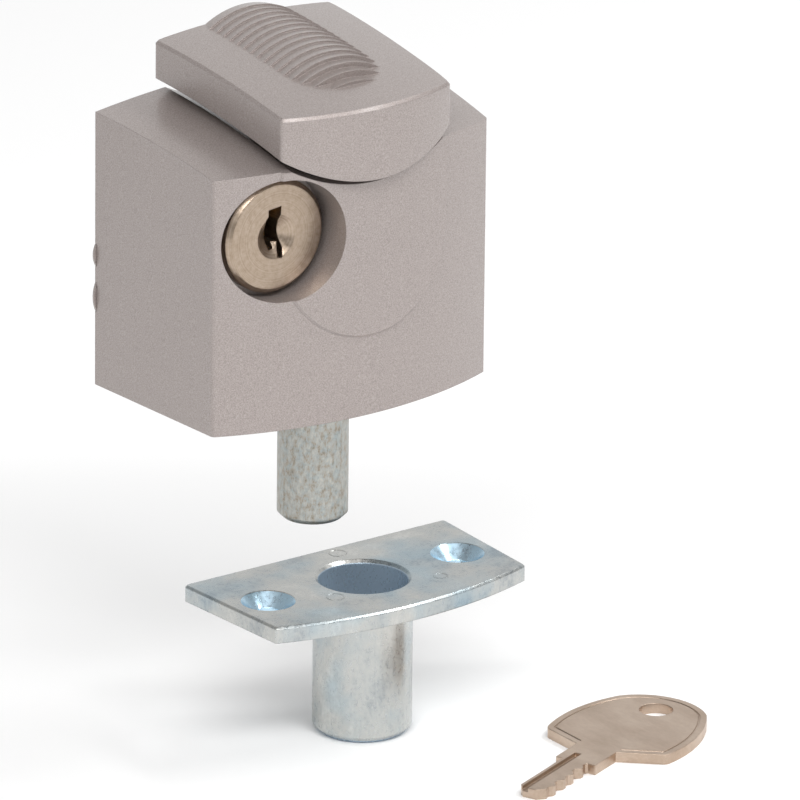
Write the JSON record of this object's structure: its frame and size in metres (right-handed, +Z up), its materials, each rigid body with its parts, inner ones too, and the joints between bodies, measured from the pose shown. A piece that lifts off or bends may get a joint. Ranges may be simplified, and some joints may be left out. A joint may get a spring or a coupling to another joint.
{
  "type": "surface-mounted lock",
  "caption": "Surface-mounted push lock in a bowed housing with a ribbed thumb cap, a face key cylinder, a round downward bolt, a sleeve strike and a flat key.",
  "frame": {"origin": "middle of the housing's width and height, on the face that lies on the door", "axes": "+X to the right across the front, +Y into the door or sash, +Z up; the front faces -Y"},
  "size_m": [0.0895, 0.0662, 0.1254],
  "materials": {
    "housing_shell": "fine satin lacquer over zinc casting",
    "thumb_cap": "fine satin lacquer over zinc casting",
    "base_plate": "fine satin lacquer over zinc casting",
    "foot_screws": "zinc plated, dull, faint yellow and blue bloom",
    "cap_screws": "zinc plated, dull, faint yellow and blue bloom",
    "carrier": "raw zinc casting",
    "bolt": "zinc plated, dull, faint yellow and blue bloom",
    "bolt_pin": "spring steel",
    "return_spring": "spring steel",
    "cylinder_body": "raw zinc casting",
    "retaining_ring": "spring steel",
    "plug": "nickel plated brass, warm, circular grain",
    "wafers": "machined brass",
    "wafer_springs": "spring steel",
    "cam": "zinc plated, dull, faint yellow and blue bloom",
    "cam_screw": "zinc plated, dull, faint yellow and blue bloom",
    "catch_leaf": "spring steel",
    "catch_screw": "zinc plated, dull, faint yellow and blue bloom",
    "strike": "blue passivated zinc casting",
    "key": "nickel plated brass, satin"
  },
  "bodies": {
    "housing": {"housing_shell": "housing_shell", "base_plate": "base_plate", "foot_screws": "foot_screws", "return_spring": "return_spring", "cylinder_body": "cylinder_body", "retaining_ring": "retaining_ring", "catch_leaf": "catch_leaf", "catch_screw": "catch_screw"},
    "slider": {"thumb_cap": "thumb_cap", "carrier": "carrier", "cap_screws": "cap_screws", "bolt": "bolt", "bolt_pin": "bolt_pin"},
    "plug": {"plug": "plug", "cam": "cam", "cam_screw": "cam_screw", "wafer_springs": "wafer_springs"},
    "wafers": {"wafers": "wafers"},
    "strike": {"strike": "strike"},
    "key": {"key": "key"}
  },
  "joints": [
    {"name": "bolt_slide", "type": "slide", "parent": "housing", "child": "slider", "axis": [0, 0, 1], "range_m": [0, 0.02], "deforming": ["return_spring", "catch_leaf"]},
    {"name": "key_turn", "type": "hinge", "parent": "housing", "child": "plug", "pos_m": [-0.016, -0.033, 0.0091], "axis": [0, 1, 0], "range_deg": [0, 90], "deforming": ["catch_leaf"]},
    {"name": "wafer_throw", "type": "slide", "parent": "plug", "child": "wafers", "axis": [0, 0, 1], "range_m": [0, 0.0008], "deforming": ["wafer_springs"]},
    {"name": "strike_lift", "type": "slide", "parent": "housing", "child": "strike", "axis": [0, 0, 1], "range_m": [0, 0.012]},
    {"name": "key_lift", "type": "slide", "parent": "housing", "child": "key", "axis": [0, 0, 1], "range_m": [0, 0.05]}
  ]
}
